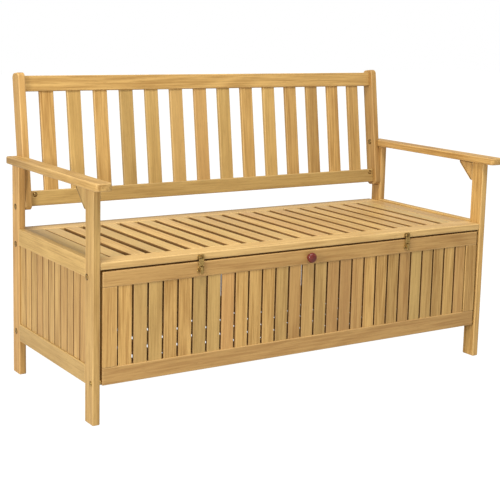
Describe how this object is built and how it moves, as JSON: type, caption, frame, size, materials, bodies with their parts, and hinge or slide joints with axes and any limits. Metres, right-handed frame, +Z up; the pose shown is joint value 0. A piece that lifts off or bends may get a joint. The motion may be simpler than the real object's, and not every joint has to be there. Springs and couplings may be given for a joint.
{
  "type": "storage bench",
  "caption": "Slatted wooden storage bench with armrests and a leaning slatted back; its seat is the top of a box whose slatted front panel drops open.",
  "frame": {"origin": "On the ground under the middle of the bench: the middle of the bounding box's base.", "axes": "+X runs along the bench, to the right of someone facing its front. +Y runs from the front to the back. +Z is up."},
  "size_m": [1.31, 0.6088, 0.8353],
  "materials": {
    "oiled_wood": "satin oiled hardwood, honey coloured, light grain",
    "seat_wood": "satin oiled hardwood, a little paler where it faces up",
    "knob_wood": "glossy dark red stained turned wood",
    "aged_brass": "darkened satin brass"
  },
  "bodies": {
    "frame": {"arm_brace_left": "oiled_wood", "arm_brace_right": "oiled_wood", "armrest_left": "oiled_wood", "armrest_right": "oiled_wood", "back_bottom_rail": "oiled_wood", "back_slat_01": "oiled_wood", "back_slat_02": "oiled_wood", "back_slat_03": "oiled_wood", "back_slat_04": "oiled_wood", "back_slat_05": "oiled_wood", "back_slat_06": "oiled_wood", "back_slat_07": "oiled_wood", "back_slat_08": "oiled_wood", "back_slat_09": "oiled_wood", "back_slat_10": "oiled_wood", "back_slat_11": "oiled_wood", "back_slat_12": "oiled_wood", "back_slat_13": "oiled_wood", "back_slat_14": "oiled_wood", "back_stile_left": "oiled_wood", "back_stile_right": "oiled_wood", "back_top_rail": "oiled_wood", "flap_pivot_bolt_left": "aged_brass", "flap_pivot_bolt_right": "aged_brass", "floor_slats": "oiled_wood", "front_leg_left": "oiled_wood", "front_leg_right": "oiled_wood", "front_lower_rail": "oiled_wood", "front_upper_rail": "oiled_wood", "latch_strike_left": "aged_brass", "latch_strike_right": "aged_brass", "rear_leg_left": "oiled_wood", "rear_leg_right": "oiled_wood", "rear_lower_rail": "oiled_wood", "rear_slats": "oiled_wood", "rear_upper_rail": "oiled_wood", "seat_boards": "seat_wood", "seat_end_board_left": "seat_wood", "seat_end_board_right": "seat_wood", "seat_front_board": "seat_wood", "seat_rear_board": "seat_wood", "side_apron_left": "oiled_wood", "side_apron_right": "oiled_wood", "side_boards_left": "oiled_wood", "side_boards_right": "oiled_wood", "side_lower_rail_left": "oiled_wood", "side_lower_rail_right": "oiled_wood"},
    "flap": {"flap_top_rail": "oiled_wood", "flap_bottom_rail": "oiled_wood", "flap_stile_left": "oiled_wood", "flap_stile_right": "oiled_wood", "flap_slats": "oiled_wood", "knob": "knob_wood", "latch_base_left": "aged_brass", "latch_base_right": "aged_brass"},
    "lever_left": {"latch_lever_left": "aged_brass"},
    "loop_left": {"latch_loop_left": "aged_brass"},
    "lever_right": {"latch_lever_right": "aged_brass"},
    "loop_right": {"latch_loop_right": "aged_brass"}
  },
  "joints": [
    {"name": "flap_hinge", "type": "hinge", "parent": "frame", "child": "flap", "pos_m": [0, -0.24741, 0.106], "axis": [1, 0, 0], "range_deg": [0, 105]},
    {"name": "lever_hinge_left", "type": "hinge", "parent": "flap", "child": "lever_left", "pos_m": [-0.34, -0.26201, 0.369], "axis": [-1, 0, 0], "range_deg": [0, 150]},
    {"name": "loop_hinge_left", "type": "hinge", "parent": "lever_left", "child": "loop_left", "pos_m": [-0.34, -0.26101, 0.363], "axis": [1, 0, 0], "range_deg": [0, 150]},
    {"name": "lever_hinge_right", "type": "hinge", "parent": "flap", "child": "lever_right", "pos_m": [0.34, -0.26201, 0.369], "axis": [-1, 0, 0], "range_deg": [0, 150]},
    {"name": "loop_hinge_right", "type": "hinge", "parent": "lever_right", "child": "loop_right", "pos_m": [0.34, -0.26101, 0.363], "axis": [1, 0, 0], "range_deg": [0, 150]}
  ],
  "couplings": [
    {"joint": "loop_hinge_left", "follows": "lever_hinge_left", "ratio": 1},
    {"joint": "loop_hinge_right", "follows": "lever_hinge_right", "ratio": 1}
  ]
}
